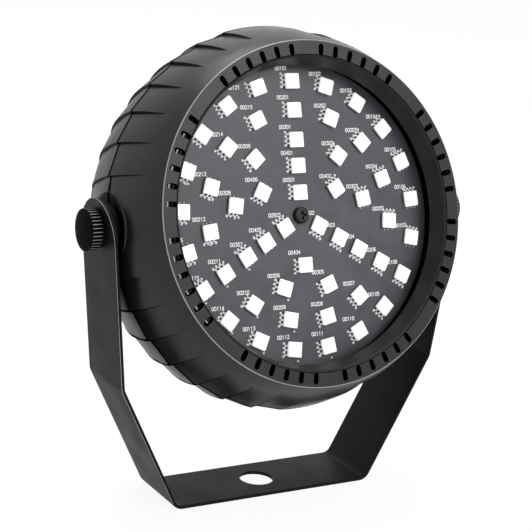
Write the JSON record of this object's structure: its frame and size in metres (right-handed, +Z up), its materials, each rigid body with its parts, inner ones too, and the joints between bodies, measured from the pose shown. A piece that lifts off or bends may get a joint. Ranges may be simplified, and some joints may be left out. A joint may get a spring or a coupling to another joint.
{
  "type": "strobe light",
  "caption": "Round LED strobe light head with a slotted front ring and clear cover, tilting between two clamp knobs in a bent steel strip yoke.",
  "frame": {"origin": "centre of the yoke's fixing hole at the underside of its base", "axes": "+Z up along the fixing hole, +X from left arm to right arm, the lamp looks along -Y"},
  "size_m": [0.1442, 0.0903, 0.1576],
  "materials": {
    "powder_coat": "satin black powder coat",
    "housing_black": "fine moulded texture",
    "clear_cover": "clear polished",
    "black_rubber": "soft matt",
    "circuit_board": "dark solder mask",
    "dark_screw": "black zinc",
    "bare_aluminium": "extruded",
    "insert_brass": "turned",
    "component_black": "moulded",
    "capacitor_sleeve": "shrink sleeve",
    "panel_plastic": "matt film",
    "smoked_window": "smoked, polished",
    "inlet_plastic": "moulded",
    "wire_sleeve": "smooth sleeve",
    "knob_plastic": "fine moulded texture",
    "led_package": "white package",
    "button_plastic": "moulded"
  },
  "bodies": {
    "yoke": {"yoke": "powder_coat", "pivot_washer_left": "black_rubber", "pivot_washer_right": "black_rubber", "knob_washer_left": "black_rubber", "knob_washer_right": "black_rubber"},
    "head": {"front_housing": "housing_black", "front_cover": "clear_cover", "cover_gasket": "black_rubber", "spacer_ring": "housing_black", "led_board": "circuit_board", "centre_screw": "dark_screw", "heat_sink": "bare_aluminium", "sink_screws": "dark_screw", "rear_housing": "housing_black", "shell_screws": "dark_screw", "pivot_insert_left": "insert_brass", "pivot_insert_right": "insert_brass", "driver_board": "circuit_board", "driver_screws": "dark_screw", "transformer": "component_black", "bulk_capacitor": "capacitor_sleeve", "output_capacitor": "capacitor_sleeve", "choke": "component_black", "fuse": "dark_screw", "control_panel": "panel_plastic", "display_window": "smoked_window", "display_module": "component_black", "panel_board": "circuit_board", "panel_screws": "dark_screw", "tact_switches": "component_black", "microphone": "dark_screw", "mains_inlet": "inlet_plastic", "inlet_pins": "insert_brass", "inlet_wires": "wire_sleeve", "led_wires": "wire_sleeve", "panel_wires": "wire_sleeve", "led_ring_1": "led_package", "led_ring_2": "led_package", "led_ring_3": "led_package", "led_ring_4": "led_package", "led_ring_5": "led_package"},
    "knob_left": {"knob_left": "knob_plastic", "knob_stud_left": "dark_screw"},
    "knob_right": {"knob_right": "knob_plastic", "knob_stud_right": "dark_screw"},
    "button_menu": {"button_menu": "button_plastic"},
    "button_down": {"button_down": "button_plastic"},
    "button_up": {"button_up": "button_plastic"},
    "button_enter": {"button_enter": "button_plastic"}
  },
  "joints": [
    {"name": "head_tilt", "type": "hinge", "parent": "yoke", "child": "head", "pos_m": [0, 0, 0.09523], "axis": [-1, 0, 0], "range_deg": [-107, 72]},
    {"name": "knob_left_turn", "type": "hinge", "parent": "head", "child": "knob_left", "pos_m": [-0.068, 0, 0.09523], "axis": [-1, 0, 0], "range_deg": [0, 270]},
    {"name": "knob_right_turn", "type": "hinge", "parent": "head", "child": "knob_right", "pos_m": [0.068, 0, 0.09523], "axis": [1, 0, 0], "range_deg": [0, 270]},
    {"name": "button_menu_press", "type": "slide", "parent": "head", "child": "button_menu", "axis": [0, -0.9548, 0.2974], "range_m": [0, 0.0005], "stiffness_N_per_m": 400, "springref_m": -0.0005},
    {"name": "button_down_press", "type": "slide", "parent": "head", "child": "button_down", "axis": [0, -0.9548, 0.2974], "range_m": [0, 0.0005], "stiffness_N_per_m": 400, "springref_m": -0.0005},
    {"name": "button_up_press", "type": "slide", "parent": "head", "child": "button_up", "axis": [0, -0.9548, 0.2974], "range_m": [0, 0.0005], "stiffness_N_per_m": 400, "springref_m": -0.0005},
    {"name": "button_enter_press", "type": "slide", "parent": "head", "child": "button_enter", "axis": [0, -0.9548, 0.2974], "range_m": [0, 0.0005], "stiffness_N_per_m": 400, "springref_m": -0.0005}
  ]
}
